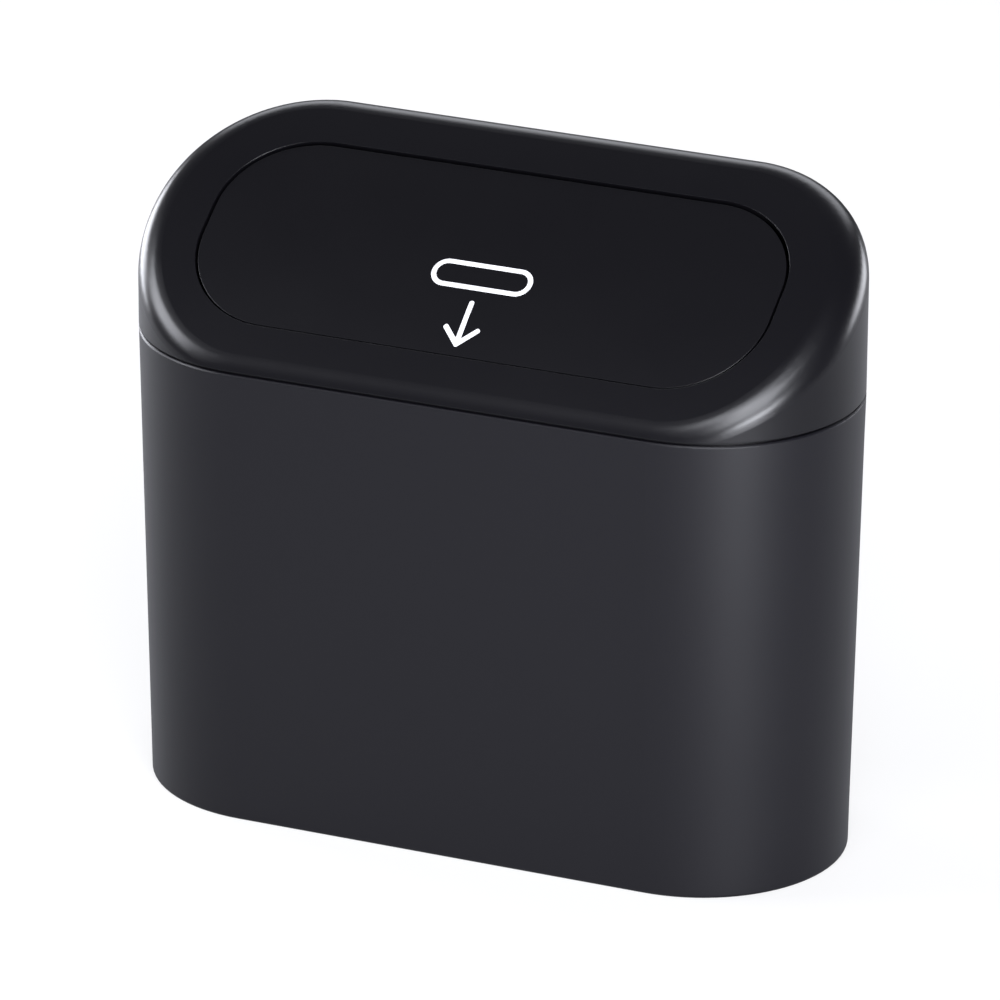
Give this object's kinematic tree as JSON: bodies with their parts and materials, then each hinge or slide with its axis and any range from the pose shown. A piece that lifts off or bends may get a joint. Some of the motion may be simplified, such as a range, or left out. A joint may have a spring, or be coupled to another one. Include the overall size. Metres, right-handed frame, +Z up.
{
  "type": "car trash can",
  "caption": "Small lidded bin for a car: tapered obround bin, slanted push-to-open lid with a sprung flap, and a slide-on hanging hook at the back.",
  "frame": {"origin": "middle of the bin's flat base", "axes": "+X along the bin's length, -Y the low side of the slanted lid where the flap is pressed, +Y the back with the hook, +Z up"},
  "size_m": [0.205, 0.102, 0.1832],
  "materials": {
    "bin_plastic": "black, fine satin grain",
    "lid_plastic": "black, fine satin grain",
    "flap_plastic": "black, matte",
    "hook_plastic": "black, satin",
    "rod_steel": "drawn steel rod",
    "spring_steel": "stainless spring wire",
    "clip_steel": "pressed spring steel"
  },
  "bodies": {
    "bin": {"bin_body": "bin_plastic"},
    "lid": {"lid_cover": "lid_plastic", "hinge_rod": "rod_steel", "rod_clips": "clip_steel"},
    "flap": {"press_flap": "flap_plastic", "left_flap_spring": "spring_steel", "right_flap_spring": "spring_steel"},
    "hook": {"hanging_hook": "hook_plastic"}
  },
  "joints": [
    {"name": "lid_lift", "type": "slide", "parent": "bin", "child": "lid", "axis": [0, 0, 1], "range_m": [0, 0.09]},
    {"name": "flap_hinge", "type": "hinge", "parent": "lid", "child": "flap", "pos_m": [0, 0.01732, 0.16761], "axis": [1, 0, 0], "range_deg": [0, 65], "stiffness_Nm_per_rad": 0.02, "springref_deg": -85.94, "deforming": ["left_flap_spring", "right_flap_spring"]},
    {"name": "hook_slide", "type": "slide", "parent": "bin", "child": "hook", "axis": [0, 0, 1], "range_m": [0, 0.045]}
  ]
}
